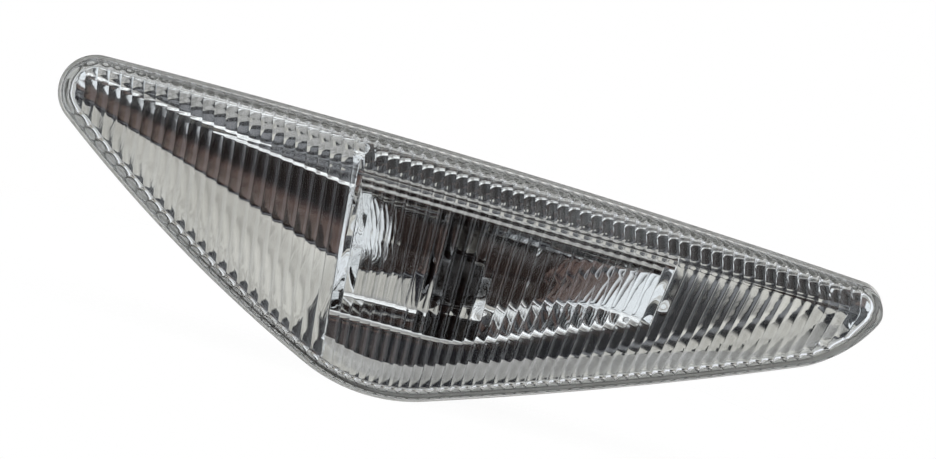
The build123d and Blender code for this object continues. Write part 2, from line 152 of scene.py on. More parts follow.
def ring_point(place, inset):
    """Points at places along one ring, where a place may lie between two of its points."""
    ring = outline_ring(inset)
    low = np.floor(place).astype(int)
    share = (place - low)[:, None]
    return ring[low % RING_STEPS] * (1 - share) + ring[(low + 1) % RING_STEPS] * share


outer_ring = outline_ring(0)
print("outline from", outer_ring.min(axis=0).round(2), "to", outer_ring.max(axis=0).round(2))

# %% [markdown]
# ## Skins made of columns and rings
# The lens and the reflector are both large faces with a rim around them. A face is meshed in
# columns, because flutes and ribs run up and down and a column can follow each of them exactly.
# The column ends lie on a ring, and from there further rings carry the skin over the edge and
# down the wall. This keeps the mesh closed, with no cut edges to clean up, which a boolean would
# leave.


# %% Gather points and faces
class Skin:
    """Points and faces of one piece while it is being built, in millimetres."""

    def __init__(self):
        self.points = []
        self.faces = []

    def add(self, x, y, z):
        """Adds points and returns their numbers."""
        x, y, z = np.broadcast_arrays(x, y, z)
        start = sum(len(p) for p in self.points)
        self.points.append(np.stack([x, y, z], axis=1))
        return np.arange(start, start + len(x))

    def face(self, *corners):
        """Adds one face, leaving out corners that repeat."""
        kept = list(dict.fromkeys(int(c) for c in corners))
        if len(kept) > 2:
            self.faces.append(kept)

    def sheet(self, numbers):
        """Quads between the columns of a grid of point numbers."""
        for left, right in zip(numbers[:-1], numbers[1:]):
            for j in range(len(left) - 1):
                self.face(left[j], right[j], right[j + 1], left[j + 1])

    def strip(self, loop, next_loop):
        """Quads between two closed loops that have the same places."""
        count = len(loop)
        for k in range(count):
            n = (k + 1) % count
            self.face(loop[k], loop[n], next_loop[n], next_loop[k])

    def grow(self, loop, at, y):
        """Adds a loop of points at a depth, joins it to the loop before and returns it."""
        next_loop = self.add(at[:, 0], y, at[:, 1])
        self.strip(loop, next_loop)
        return next_loop

    def stitch(self, *rims):
        """Triangles between two closed loops, each given with the places of its points."""
        sorted_rims = []
        for loop, place in rims:
            place = place % RING_STEPS
            order = np.argsort(place)
            lap_end = place[order[0]] + RING_STEPS
            sorted_rims.append((loop[order], np.append(place[order], lap_end)))
        (a, pa), (b, pb) = sorted_rims
        i = j = 0
        while i < len(a) or j < len(b):
            if j == len(b) or (i < len(a) and pa[i + 1] <= pb[j + 1]):
                self.face(a[i], a[(i + 1) % len(a)], b[j % len(b)])
                i += 1
            else:
                self.face(a[i % len(a)], b[(j + 1) % len(b)], b[j])
                j += 1

    def build(self, name, crease_angle):
        """The finished object, smooth except along edges sharper than an angle in degrees."""
        mesh = bpy.data.meshes.new(name)
        mesh.from_pydata((np.concatenate(self.points) * MM).tolist(), [], self.faces)
        skin = bmesh.new()
        skin.from_mesh(mesh)
        bmesh.ops.recalc_face_normals(skin, faces=skin.faces)
        for face in skin.faces:
            face.smooth = True
        for edge in skin.edges:
            edge.smooth = edge.calc_face_angle(0.0) < radians(crease_angle)
        open_edges = sum(not edge.is_manifold for edge in skin.edges)
        skin.to_mesh(mesh)
        skin.free()
        piece = bpy.data.objects.new(name, mesh)
        scene.collection.objects.link(piece)
        triangles = sum(len(face.vertices) - 2 for face in mesh.polygons)
        print(name, "has", len(mesh.vertices), "points and", triangles, "triangles")
        print("open edges:", open_edges)
        return piece


# %% Fill a ring with columns
TOUCHING = 1e-3


def end_stations(low, high, reach, count):
    """Stations that crowd towards both ends, so that round tips stay round."""
    bend = 1 - np.cos(np.linspace(0, pi / 2, count))
    return np.concatenate([low + reach * bend, high - reach * bend])


def columns_in(ring, across, stations):
    """Stations inside a ring, its two tips, and the places where the columns meet the ring."""
    reach = across(*ring.T)
    first, last = int(np.argmin(reach)), int(np.argmax(reach))
    upper = first + np.arange((last - first) % RING_STEPS + 1)
    lower = last + np.arange((first - last) % RING_STEPS + 1)
    inside = (stations > reach[first] + TOUCHING) & (stations < reach[last] - TOUCHING)
    stations = np.sort(stations[inside])
    top = np.interp(stations, reach[upper % RING_STEPS], upper)
    low = np.interp(stations, reach[lower[::-1] % RING_STEPS], lower[::-1])
    return stations, first, last, top, low


print("skin helpers are ready")

# %% [markdown]
# ## The clear lens
# The real lens is injection moulded in clear acrylic. Outside it is smooth: two facets that meet
# in one straight crease, with a rounded edge and a flat rim. Inside, upright flutes about two
# millimetres wide spread the light. The flutes are what give the lamp its sparkle, so they are
# real geometry here, twelve columns to a flute, and the columns lean and fan out as the flutes
# do. A bump map could fake the pattern but would not bend light.

# %% Lens values
LENS_SEAT = -5.24
CREST_LINE = -14.2
LENS_WALL_INSET = 0.6
LENS_CAVITY_INSET = 2.0
LENS_EDGE_RADIUS = 0.9
LENS_FACE_WALL = 2.3
LENS_BOW_RADIUS = 900.0
LENS_DRAFT = tan(radians(10.0))
UPPER_SLOPE = tan(radians(20.0))
LOWER_SLOPE = tan(radians(7.5))
CREASE_SOFTNESS = 0.12
INNER_SOFTNESS = 1.2
FLUTE_PITCH = 2.1
FLUTE_SAGITTA, UPPER_SAGITTA, SAGITTA_BLEND = 0.15, 0.3, 1.6
FLUTE_START = -78.75
FLUTE_COLUMNS, FLUTE_ROUNDS = 12, 12
WALL_FLUTE = 0.35
WALL_CHAMFER = 0.6
LEAN_LEFT, LEAN_RIGHT, LEAN_UPPER = 7.0, -16.0, 12.0
RIB_OFFSET = -22.6
print("flutes along the lamp:", round(LAMP_LENGTH / FLUTE_PITCH))


# %% Lens faces
def facet(x, z, softness=CREASE_SOFTNESS):
    """Y of the outside of the bowed lens: two facets that leave a softened crease."""
    rise = (UPPER_SLOPE + LOWER_SLOPE) / 2
    tilt = (UPPER_SLOPE - LOWER_SLOPE) / 2
    bow = x**2 / (2 * LENS_BOW_RADIUS)
    fold = np.sqrt(z**2 + softness**2) - softness
    return CREST_LINE + bow + rise * fold + tilt * z


def lower_lean(station):
    """Tangent of a flute's lean below the crease: even on the left, fanning out on the right."""
    share = share_of(station, RIB_OFFSET, LAMP_LENGTH / 2)
    return np.tan(np.radians(blend(LEAN_LEFT, LEAN_RIGHT, share)))


def flute_x(station, z):
    """X of a flute line at a height, where the station is its x on the crease."""
    upper = station - z * tan(radians(LEAN_UPPER))
    return np.where(z > 0, upper, station - z * lower_lean(station))


def flute_station(x, z):
    """Station of the flute line through a point, found in a few steps."""
    station = x + 0.0
    for _ in range(FLUTE_ROUNDS):
        station = x + z * lower_lean(station)
    return np.where(z > 0, x + z * tan(radians(LEAN_UPPER)), station)


def flute_swell(station):
    """Share of a flute's swell at a station: 0 between two flutes and 1 at the middle of one."""
    share = np.mod((station - FLUTE_START) / FLUTE_PITCH, 1.0)
    return 1 - (2 * share - 1) ** 2


def fluted_ceiling(x, z):
    """Y of the inside of the lens, where each flute swells back towards the bulb."""
    fillet = (UPPER_SLOPE + LOWER_SLOPE) / 2 * INNER_SOFTNESS
    sagitta = blend(FLUTE_SAGITTA, UPPER_SAGITTA, share_of(z, 0, SAGITTA_BLEND))
    plain = facet(x, z, INNER_SOFTNESS) + fillet + LENS_FACE_WALL
    return plain + sagitta * flute_swell(flute_station(x, z))


print("lens face at the crease:", facet(np.array([0.0]), np.array([0.0])).round(2))

# %% [markdown]
# ### The outside of the lens
# The outer half of the mould is polished, so this side is two plain facets with a soft crease
# between them. The columns stand a millimetre apart and crowd towards the round tips, and the
# rows crowd towards the crease. Eight rings then roll the edge over, and a profile of insets and
# depths carries the skin around the rim and the tongue that is welded into the housing. A bevel
# modifier would round the crease as well, so it isn't used.


# %% Faces of columns
CREASE_ROWS = np.array([0.6, 0.3, 0.15, 0.05, -0.05, -0.15, -0.3, -0.6])
ROW_GAP, ROWS_ABOVE, ROWS_BELOW = 0.02, 8, 12


def grid_numbers(skin, first, last, xs, zs, y_of, ring):
    """Adds a face of columns whose first and last columns are single points on the ring."""
    start, end = [
        skin.add(tip[:1], y_of(tip[:1], tip[1:]), tip[1:])
        for tip in (ring[first % RING_STEPS], ring[last % RING_STEPS])
    ]
    x, z = xs.ravel(), zs.ravel()
    body = skin.add(x, y_of(x, z), z).reshape(xs.shape)
    rows = xs.shape[1]
    return np.concatenate([np.repeat(start, rows)[None], body, np.repeat(end, rows)[None]])


def grid_rim(numbers, first, last, top, low):
    """The outer loop of a face of columns, clockwise from its left tip, with its places."""
    loop = np.concatenate([numbers[:-1, 0], numbers[:0:-1, -1]])
    right_tip = first + (last - first) % RING_STEPS
    place = np.concatenate([[first], top, [right_tip], low[::-1]])
    return loop, place


def rows_around(z_top, near, z_low, above):
    """Rows of one column: given rows near the crease, with even rows above and below them."""
    upper, lower = np.linspace(z_top, near[0], above), np.linspace(near[-1], z_low, ROWS_BELOW)
    return np.concatenate([upper[:-1], near, lower[1:]])


def rows_with_crease(z_top, z_low):
    """Rows of one column of the lens front, close together at the crease."""
    near = np.clip(CREASE_ROWS, z_low + ROW_GAP, z_top - ROW_GAP)
    return rows_around(z_top, near, z_low, ROWS_ABOVE)


print("a column of", len(rows_with_crease(6.0, -20.0)), "rows")

# %% Outer face of the lens
FRONT_STATIONS = np.arange(-76, 76, 1.0)
TIP_REACH, TIP_COLUMNS = 6.0, 24
lens_skin = Skin()
face_inset = LENS_WALL_INSET + LENS_EDGE_RADIUS
face_ring = outline_ring(face_inset)
tips = end_stations(face_ring[:, 0].min(), face_ring[:, 0].max(), TIP_REACH, TIP_COLUMNS)
face_stations = np.concatenate([FRONT_STATIONS, tips])
stations, first, last, top, low = columns_in(face_ring, lambda x, z: x, face_stations)
top_point, low_point = ring_point(top, face_inset), ring_point(low, face_inset)
zs = np.array([rows_with_crease(a, b) for a, b in zip(top_point[:, 1], low_point[:, 1])])
xs = np.repeat(stations[:, None], zs.shape[1], axis=1)
front = grid_numbers(lens_skin, first, last, xs, zs, facet, face_ring)
lens_skin.sheet(front)
outer_loop, outer_place = grid_rim(front, first, last, top, low)
print("lens front:", front.shape, "columns and rows")

# %% Rounded edge, rim and tongue
EDGE_RINGS = 8
RIM_PROFILE = [
    (0.6, -7.35), (0.57, -7.24), (0.48, -7.2), (0.3, -7.2), (0.14, -7.17), (0.04, -7.07),
    (0.0, -6.92), (0.0, -6.2), (0.0, -5.4), (0.05, -5.29), (0.15, -5.24), (0.8, -5.24),
    (0.8, -4.05), (1.5, -4.05), (1.5, -5.24),
]
for step in range(1, EDGE_RINGS + 1):
    turn = step / EDGE_RINGS * pi / 2
    at = ring_point(outer_place, LENS_WALL_INSET + LENS_EDGE_RADIUS * (1 - sin(turn)))
    y = facet(*at.T) + LENS_EDGE_RADIUS * (1 - cos(turn))
    outer_loop = lens_skin.grow(outer_loop, at, y)
for inset, y in RIM_PROFILE:
    outer_loop = lens_skin.grow(outer_loop, ring_point(outer_place, inset), y)
print("rim of", len(RIM_PROFILE), "rings with", len(outer_loop), "points each")

# %% [markdown]
# ### The fluted inside
# Each flute is a shallow round rib on the inside, like half of a thin lens. A chamfer takes the
# corner where the ceiling turns into the wall, and the flutes run on down the wall, which gives
# the rows of small scallops around the rim. The ends of the flutes depend on the chamfer and the
# chamfer on the flutes, so the edge is found in a few rounds of correction instead of with one
# formula.

# %% Wall of the lens
WALL_STEP = 0.1
FIRST_INSET, EDGE_ROUNDS = 3.2, 6
wall_insets = np.arange(1.4, 5.6, WALL_STEP)
wall_rings = np.stack([outline_ring(inset) for inset in wall_insets])


def wall_point(place, inset):
    """Points at places and insets that both vary, read between neighbouring rings."""
    level = np.clip((inset - wall_insets[0]) / WALL_STEP, 0, len(wall_insets) - 1.001)
    low_level = np.floor(level).astype(int)
    share = (level - low_level)[:, None]
    low_place = np.floor(place).astype(int)
    between = (place - low_place)[:, None]
    a, b = low_place % RING_STEPS, (low_place + 1) % RING_STEPS
    lower, upper = [
        wall_rings[ring, a] * (1 - between) + wall_rings[ring, b] * between
        for ring in (low_level, low_level + 1)
    ]
    return lower * (1 - share) + upper * share


def wall_inset(y, swell):
    """Inset of the drafted inner wall of the lens, where the flutes run on down the wall."""
    return LENS_CAVITY_INSET - WALL_FLUTE * (1 - swell) + (LENS_SEAT - y) * LENS_DRAFT


def ceiling_edge(place, swell):
    """Points where the fluted ceiling meets the chamfer of the wall."""
    inset = np.full(len(place), FIRST_INSET)
    for _ in range(EDGE_ROUNDS):
        at = wall_point(place, inset)
        y = facet(*at.T, 0.0) + LENS_FACE_WALL
        inset = wall_inset(y, swell) + WALL_CHAMFER
    return wall_point(place, inset)


print("wall inset at the seat:", wall_inset(LENS_SEAT, 1.0))

# %% Fluted ceiling
CEILING_ROWS = np.array([2.4, 1.6, 1.0, 0.6, 0.2, -0.2, -0.6, -1.0, -1.6, -2.4])
CEILING_ROWS_ABOVE, LEAST_STEP = 4, 0.005
CEILING_TIP_COLUMNS = 16
all_places = np.arange(RING_STEPS, dtype=float)
ceiling_ring = ceiling_edge(all_places, np.ones(RING_STEPS))
ends = flute_station(*ceiling_ring.T)
count = int((ends.max() - FLUTE_START) / FLUTE_PITCH * FLUTE_COLUMNS) + 1
flute_stations = FLUTE_START + np.arange(count) * FLUTE_PITCH / FLUTE_COLUMNS
tips = end_stations(ends.min(), ends.max(), FLUTE_PITCH, CEILING_TIP_COLUMNS)
flute_stations = np.unique(np.concatenate([flute_stations, tips]).round(3))
stations, first, last, top, low = columns_in(ceiling_ring, flute_station, flute_stations)
swells = flute_swell(stations)
top_point, low_point = ceiling_edge(top, swells), ceiling_edge(low, swells)
zs, xs = [], []
for station, a, b in zip(stations, top_point, low_point):
    crease = min(max(0.0, b[1] + ROW_GAP), a[1] - ROW_GAP)
    near = np.clip(crease + CEILING_ROWS, b[1] + ROW_GAP / 2, a[1] - ROW_GAP / 2)
    near = near + np.linspace(LEAST_STEP, -LEAST_STEP, len(near))
    z = rows_around(a[1], near, b[1], CEILING_ROWS_ABOVE)
    x = flute_x(station, z)
    x[0], x[-1] = a[0], b[0]
    zs.append(z)
    xs.append(x)
zs, xs = np.array(zs), np.array(xs)
ceiling = grid_numbers(lens_skin, first, last, xs, zs, fluted_ceiling, ceiling_ring)
lens_skin.sheet(ceiling)
print("fluted ceiling:", ceiling.shape, "columns and rows")

# %% Run the flutes down the wall of the lens
CHAMFER_SHARES, WALL_SHARES = (0.5, 1.0), (0.3, 0.65, 1.0)
LENS_CREASE_ANGLE = 32
inner_loop, inner_place = grid_rim(ceiling, first, last, top, low)
ceiling_tips = ceiling_ring[[first % RING_STEPS, last % RING_STEPS]]
tip_swells = flute_swell(flute_station(*ceiling_tips.T))
loop_swell = np.concatenate([tip_swells[:1], swells, tip_swells[1:], swells[::-1]])
ceiling_y = np.concatenate(lens_skin.points)[inner_loop][:, 1]
wall_start = ceiling_y + WALL_CHAMFER
loops = []
for share in CHAMFER_SHARES:
    inset = wall_inset(wall_start, loop_swell) + WALL_CHAMFER * (1 - share)
    loops.append((ceiling_y + WALL_CHAMFER * share, inset))
for share in WALL_SHARES:
    y = wall_start + (LENS_SEAT - wall_start) * share
    loops.append((y, wall_inset(y, loop_swell)))
for y, inset in loops:
    inner_loop = lens_skin.grow(inner_loop, wall_point(inner_place, inset), y)
lens_skin.stitch((outer_loop, outer_place), (inner_loop, inner_place))

clear_lens = lens_skin.build("clear_lens", LENS_CREASE_ANGLE)
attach(clear_lens, "lamp")
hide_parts("outer_lens")

# %% [markdown]
# ## The mirror reflector
# Behind the lens sits a plastic moulding with a vacuum-deposited mirror coat. A thin rib divides
# it. On the left a shelf runs down to a bright crest and below it a scoop opens towards the rib.
# On the right a flat floor holds a long bowl around the bulb, with a raised lip. A mirror shows
# every unevenness, so the surface is written as one height for each point and sampled closely,
# instead of being cut from primitive shapes.

# %% Reflector levels
RIM_FRONT, RIM_BACK = -5.16, -3.2
FLOOR_FRONT = -3.4
MIRROR_WALL = 1.2
MIRROR_EDGE_INSET, MIRROR_STAND_INSET = 2.1, 2.6
SHELL_INSET, MIRROR_FLOOR_INSET = 4.8, 6.2
print("reflector rim at", RIM_FRONT, "and floor at", FLOOR_FRONT)


# %% Soft steps and corners
def soft_step(value, start, end):
    share = share_of(value, start, end)
    return share * share * (3 - 2 * share)


def soft_max(a, b, softness):
    return (a + b + np.sqrt((a - b) ** 2 + softness**2)) / 2


def soft_min(a, b, softness):
    return (a + b - np.sqrt((a - b) ** 2 + softness**2)) / 2


print("half a soft step:", soft_step(0.5, 0.0, 1.0))

# %% [markdown]
# ### The left compartment
# A shelf leans back under the top edge, a flat band follows, and a sharp bead marks the crest.
# Below the crest the scoop is hollow at first, so it looks down into the dark, and then runs out
# upwards, so it looks at the light. That is what splits this half into a dark and a pale field.
# Both fields widen towards the rib because the scoop is part of a cone. Modelling it by hand
# would leave bumps, so each zone is a short formula.

# %% Shelf, crest and scoop
CREST_FRONT, CREST_DROP = -6.8, 3.15
CREST_LEAN, CREST_SOFTNESS = radians(6.8), 0.04
SHELF_SLOPE = tan(radians(20.0))
BAND_WIDTH, BAND_TAPER, BAND_SOFTNESS, BAND_SLOPE = 4.3, 0.066, 0.05, 0.035
BEAD_HEIGHT, BEAD_WIDTH = 0.45, 0.65
SCOOP_CHORD, SCOOP_TAPER, LEAST_CHORD = 29.0, 0.42, 3.5
SCOOP_SHARE, SCOOP_TURN, SCOOP_RUN_OUT, SCOOP_SOFTNESS = 0.17, 0.43, 0.23, 0.12


def left_height(x, z):
    """Shelf, band, crest and scoop of the left compartment."""
    along = (x - RIB_OFFSET) * cos(CREST_LEAN) - (z + CREST_DROP) * sin(CREST_LEAN)
    below = -(x - RIB_OFFSET) * sin(CREST_LEAN) - (z + CREST_DROP) * cos(CREST_LEAN)
    chord = np.maximum(SCOOP_CHORD + SCOOP_TAPER * np.minimum(along, 0), LEAST_CHORD)
    share = np.minimum(below / chord, 0.5)
    hollow = 4 * SCOOP_SHARE * chord * share * (1 - share)
    turn_depth = 4 * SCOOP_SHARE * chord * SCOOP_TURN * (1 - SCOOP_TURN)
    run_out = turn_depth - SCOOP_RUN_OUT * (below - SCOOP_TURN * chord)
    scoop = soft_min(hollow, run_out, SCOOP_SOFTNESS)
    band = BAND_WIDTH + BAND_TAPER * np.minimum(along, 0)
    shelf = SHELF_SLOPE * soft_max(-below - band, 0.0, BAND_SOFTNESS) - BAND_SLOPE * below
    bead = BEAD_HEIGHT * np.maximum(1 + below / BEAD_WIDTH, 0)
    return CREST_FRONT + soft_max(scoop - BEAD_HEIGHT, shelf - bead, CREST_SOFTNESS)


print("scoop bottom near the rib:", left_height(np.array([-24.0]), np.array([-14.0])).round(2))

# %% [markdown]
# ### The right compartment
# Its floor faces straight ahead and curves forward in a cove along the lower edge. The cove
# widens to the right, and through the flutes it turns into a row of pale leaves. Into the floor
# sinks the long bowl around the bulb. The bowl has a steep upper wall, a pan in two zones, coves
# at both ends that look sideways, and a lower wall with a steep foot and a gentle leaf above it.
# Two small beads frame it.

# %% Cove along the lower edge
COVE_SLOPE = 0.38
COVE_NARROW, COVE_WIDE = 2.2, 8.5
COVE_START, COVE_END = 4.0, 64.0
EDGE_LEAN = 0.95
floor_ring = outline_ring(MIRROR_FLOOR_INSET)
left_end, right_end = int(np.argmin(floor_ring[:, 0])), int(np.argmax(floor_ring[:, 0]))
lower_run = right_end + np.arange((left_end - right_end) % RING_STEPS + 1)
lower_edge = floor_ring[lower_run[::-1] % RING_STEPS]


def lower_cove(x, z):
    """How far the floor of the right compartment curves forward along its lower edge."""
    edge = np.interp(x, *lower_edge.T)
    inset = MIRROR_FLOOR_INSET + (z - edge) * EDGE_LEAN
    width = blend(COVE_NARROW, COVE_WIDE, share_of(x, COVE_START, COVE_END))
    reach = np.clip(width + MIRROR_STAND_INSET - inset, 0, width)
    return COVE_SLOPE * reach**2 / (2 * width)


print("lower edge of", len(lower_edge), "points")

# %% Edges and zones of the bowl
BOWL_LEFT, BOWL_RIGHT, BOWL_WAIST = -20.2, 35.5, 3.0
BOWL_TOP, BOWL_HEIGHT, BOWL_END_HEIGHT = -3.0, 22.5, 9.0
BOWL_DEPTH, BOWL_END_DEPTH = 6.0, 7.0
BOWL_DEEPEST, DEEPEST_RISE, RIDGE_RISE = -19.0, 2.0, 7.5
UPPER_CURVE, LOWER_CURVE = 0.032, 0.0233
BOWL_LEFT_COVE, BOWL_RIGHT_COVE = 14.0, 20.0
BOWL_LEFT_STEP, BOWL_RIGHT_BEND = 0.25, 1.3
LEFT_COVE_FOOT, LEFT_COVE_FULL = -19.0, -12.5
WAIST_SOFTNESS, MOST_TAPER = 0.1, 1.1


def bowl_low(x):
    """Height of the bowl's lower edge."""
    share = soft_max((x - BOWL_WAIST) / (BOWL_RIGHT - BOWL_WAIST), 0.0, WAIST_SOFTNESS)
    rise = (BOWL_HEIGHT - BOWL_END_HEIGHT) * np.minimum(share, MOST_TAPER)
    return BOWL_TOP - BOWL_HEIGHT + rise


def bowl_pan(x, z):
    """Depth of the bowl's pan, which has two zones and a cove at each end."""
    depth = blend(BOWL_DEPTH, BOWL_END_DEPTH, share_of(x, BOWL_WAIST, BOWL_RIGHT))
    deepest = np.maximum(BOWL_DEEPEST, bowl_low(x) + DEEPEST_RISE)
    ridge = deepest + RIDGE_RISE
    upper_zone = depth - LOWER_CURVE * RIDGE_RISE**2 - UPPER_CURVE * (z - ridge) ** 2
    lower_zone = depth - LOWER_CURVE * (z - deepest) ** 2
    left_rise = (1 - BOWL_LEFT_STEP) * soft_step(z, LEFT_COVE_FOOT, LEFT_COVE_FULL)
    left_cove = 1 - left_rise * np.clip(1 - (x - BOWL_LEFT) / BOWL_LEFT_COVE, 0, 2) ** 2
    right_cove = 1 - np.clip(1 - (BOWL_RIGHT - x) / BOWL_RIGHT_COVE, 0, 2) ** BOWL_RIGHT_BEND
    return np.where(z > ridge, upper_zone, lower_zone) * np.minimum(left_cove, right_cove)


print("pan at the bulb:", bowl_pan(np.array([1.0]), np.array([-14.0])).round(2))

# %% Walls and beads of the bowl
UPPER_WALL, BOWL_LEFT_WALL = 3.0, 2.0
LEAF_SLOPE = [
    (-19.0, 0.3), (-8.0, 0.3), (-5.0, 0.22), (5.0, 0.22), (9.0, 1.3), (35.5, 0.9),
]
FOOT_HEIGHT = [(-19.0, 3.3), (-10.0, 3.5), (4.0, 3.4), (9.0, 3.2), (35.5, 3.2)]
FOOT_SLOPE = [(-19.0, 1.15), (4.0, 1.15), (9.0, 1.3), (35.5, 0.9)]
BOWL_SOFTNESS = 0.3
LIP_HEIGHT, LIP_HALF = 0.26, 0.8
LIP_ROWS = (-0.7, -2.2)
LIP_FADE_START, LIP_FADE_END = 0.5, 2.5


def along_bowl(x, steps):
    """Value at x, read between steps of x and value."""
    return np.interp(x, *zip(*steps))


def right_height(x, z):
    """Floor of the right compartment with the long bowl and its two beads."""
    low = bowl_low(x)
    upper = UPPER_WALL * (BOWL_TOP - z)
    foot = np.minimum(z - low, along_bowl(x, FOOT_HEIGHT))
    lower = along_bowl(x, FOOT_SLOPE) * foot + along_bowl(x, LEAF_SLOPE) * (z - low - foot)
    pan = soft_min(bowl_pan(x, z), BOWL_LEFT_WALL * (x - BOWL_LEFT), BOWL_SOFTNESS)
    bowl = np.maximum(soft_min(soft_min(pan, upper, BOWL_SOFTNESS), lower, BOWL_SOFTNESS), 0)
    inside = np.minimum(BOWL_TOP - z, (z - low) * EDGE_LEAN)
    inside = np.minimum(inside, np.minimum(x - BOWL_LEFT, BOWL_RIGHT - x))
    outer, inner = [
        0.5 + 0.5 * np.cos(pi * np.clip((inside - row) / LIP_HALF, -1, 1)) for row in LIP_ROWS
    ]
    lip = outer + inner * soft_step(z, low + LIP_FADE_START, low + LIP_FADE_END)
    return FLOOR_FRONT - lower_cove(x, z) + bowl - LIP_HEIGHT * lip


print("floor right of the bowl:", right_height(np.array([45.0]), np.array([-2.0])).round(2))

# %% [markdown]
# ### Rib and outer wall
# The rib stands up from the floor to an even gap behind the lens and gets thinner below the
# crest. All around, a drafted wall leads from the floor to the rim on which the lens presses. The
# whole mirror is then one function: compartment, rib and wall, whichever stands furthest forward.

# %% Whole mirror
RIB_LEAN = tan(radians(4.6))
RIB_HALF, RIB_HALF_LOW, RIB_THIN_BELOW, RIB_LENS_GAP = 0.7, 0.35, -7.0, 1.2
RIB_FLANK_IN, RIB_FLANK_OUT, RIB_END_INSET = 0.25, 0.1, 5.5
FRONT_REACH, FRONT_START = 8.0, 0.1
WALL_SLOPE = (FLOOR_FRONT - RIM_FRONT) / (MIRROR_FLOOR_INSET - MIRROR_EDGE_INSET)
NO_WALL = np.full(1, 99.0)


def rib_station(x, z):
    return x + z * RIB_LEAN


def mirror_height(x, z, inset=NO_WALL):
    """Y of the whole mirror; the inset is how far a point lies inside the outline."""
    off_rib = rib_station(x, z) - RIB_OFFSET
    y = np.where(off_rib < 0, left_height(x, z), right_height(x, z))
    rib = facet(x, z, 0.0) + LENS_FACE_WALL + RIB_LENS_GAP
    rib = np.where(inset < RIB_END_INSET, np.maximum(rib, RIM_FRONT), rib)
    half = blend(RIB_HALF_LOW, RIB_HALF, soft_step(z, RIB_THIN_BELOW, 0.0))
    stand = 1 - soft_step(np.abs(off_rib), half - RIB_FLANK_IN, half + RIB_FLANK_OUT)
    y = blend(y, np.minimum(rib, y), stand)
    wall = RIM_FRONT + np.maximum(inset - MIRROR_EDGE_INSET, 0) * WALL_SLOPE
    y = np.where(inset < MIRROR_FLOOR_INSET, np.minimum(y, wall), y)
    clear_of_lens = soft_step(inset, MIRROR_EDGE_INSET + FRONT_START, MIRROR_STAND_INSET)
    return np.maximum(y, RIM_FRONT - FRONT_REACH * clear_of_lens)


print("wall slope:", round(WALL_SLOPE, 3))

# %% [markdown]
# ### Columns of the mirror
# The columns lean with the rib, so that the rib stays straight, and the rows crowd where the
# surface bends: at the crest on the left and at the beads on the right. Points near the bulb's
# hole are pulled onto its circle, and the faces inside it are left out, which gives a clean round
# edge without a boolean.


# %% Rows and columns of the mirror
LEFT_ROWS, CREST_ABOVE, CREST_BELOW = [20, 30, 60], 1.0, 1.2
RIGHT_ROWS, BEAD_OUTSIDE, BEAD_INSIDE = [10, 24, 38, 24, 14], 2.9, 0.4
EVEN_SHARE = 0.02
RIB_COLUMNS = np.linspace(0.3, 1.3, 15)
COLUMN_RUNS = [
    (-72, -23.9, 0.65), (-21.3, -14, 0.22), (-14, 28, 0.45), (28, 38, 0.3), (38, 75, 0.8),
]
MIRROR_TIP_REACH, MIRROR_TIP_COLUMNS = 1.5, 10


def mirror_rows(station, z_top, z_low):
    """Rows of one column, close together at the crest or at the bowl's beads."""
    if station < RIB_OFFSET:
        crest = -CREST_DROP - (station - RIB_OFFSET) * tan(CREST_LEAN)
        knots = [z_top, crest + CREST_ABOVE, crest - CREST_BELOW, z_low]
        counts = LEFT_ROWS
    else:
        low = bowl_low(station)
        upper_knots = [BOWL_TOP + BEAD_OUTSIDE, BOWL_TOP - BEAD_INSIDE]
        knots = [z_top, *upper_knots, low + BEAD_INSIDE, low - BEAD_OUTSIDE, z_low]
        counts = RIGHT_ROWS
    knots = np.minimum.accumulate(np.clip(np.array(knots, dtype=float), z_low, z_top))
    share = (z_top - knots) / (z_top - z_low) * (1 - EVEN_SHARE)
    knots = z_top + (z_low - z_top) * (share + np.linspace(0, EVEN_SHARE, len(knots)))
    rows = [np.linspace(a, b, n + 1)[:-1] for a, b, n in zip(knots[:-1], knots[1:], counts)]
    return np.append(np.concatenate(rows), knots[-1])


reach = rib_station(*floor_ring.T)
mirror_stations = np.concatenate([
    *(np.arange(*run) for run in COLUMN_RUNS), RIB_OFFSET - RIB_COLUMNS, RIB_OFFSET + RIB_COLUMNS,
    end_stations(reach.min(), reach.max(), MIRROR_TIP_REACH, MIRROR_TIP_COLUMNS),
])
mirror_stations = np.unique(mirror_stations.round(3))
stations, first, last, top, low = columns_in(floor_ring, rib_station, mirror_stations)
z_tops, z_lows = [ring_point(place, MIRROR_FLOOR_INSET)[:, 1] for place in (top, low)]
zs = np.array([mirror_rows(*column) for column in zip(stations, z_tops, z_lows)])
xs = stations[:, None] - zs * RIB_LEAN
print("mirror of", xs.shape, "columns and rows")

# %% Mirror face with the bulb's hole
BULB_X, BULB_Z, BULB_HOLE, HOLE_PULL = 1.0, -14.25, 5.4, 0.24
off_bulb = np.hypot(xs - BULB_X, zs - BULB_Z)
near_hole = np.abs(off_bulb - BULB_HOLE) < HOLE_PULL
pull = np.where(near_hole, BULB_HOLE / np.maximum(off_bulb, HOLE_PULL), 1.0)
xs, zs = BULB_X + (xs - BULB_X) * pull, BULB_Z + (zs - BULB_Z) * pull

mirror_skin = Skin()
mirror = grid_numbers(mirror_skin, first, last, xs, zs, mirror_height, floor_ring)
mirror_skin.sheet(mirror)
points = np.concatenate(mirror_skin.points)
in_hole = np.hypot(points[:, 0] - BULB_X, points[:, 2] - BULB_Z) < BULB_HOLE - TOUCHING
whole = len(mirror_skin.faces)
mirror_skin.faces = [f for f in mirror_skin.faces if not in_hole[f].any()]
print("faces left out for the bulb:", whole - len(mirror_skin.faces))

# %% [markdown]
# ### Wall, ledge and rim
# Rings carry the mirror up its wall to the rim. Along the top of the right compartment the wall
# has a narrow ledge that faces up. It catches the bright ceiling, and the flutes break it into
# the row of white arcs. The ledge isn't parallel to the outline, so the rings around it are
# shifted until one of them lies on each of its edges.

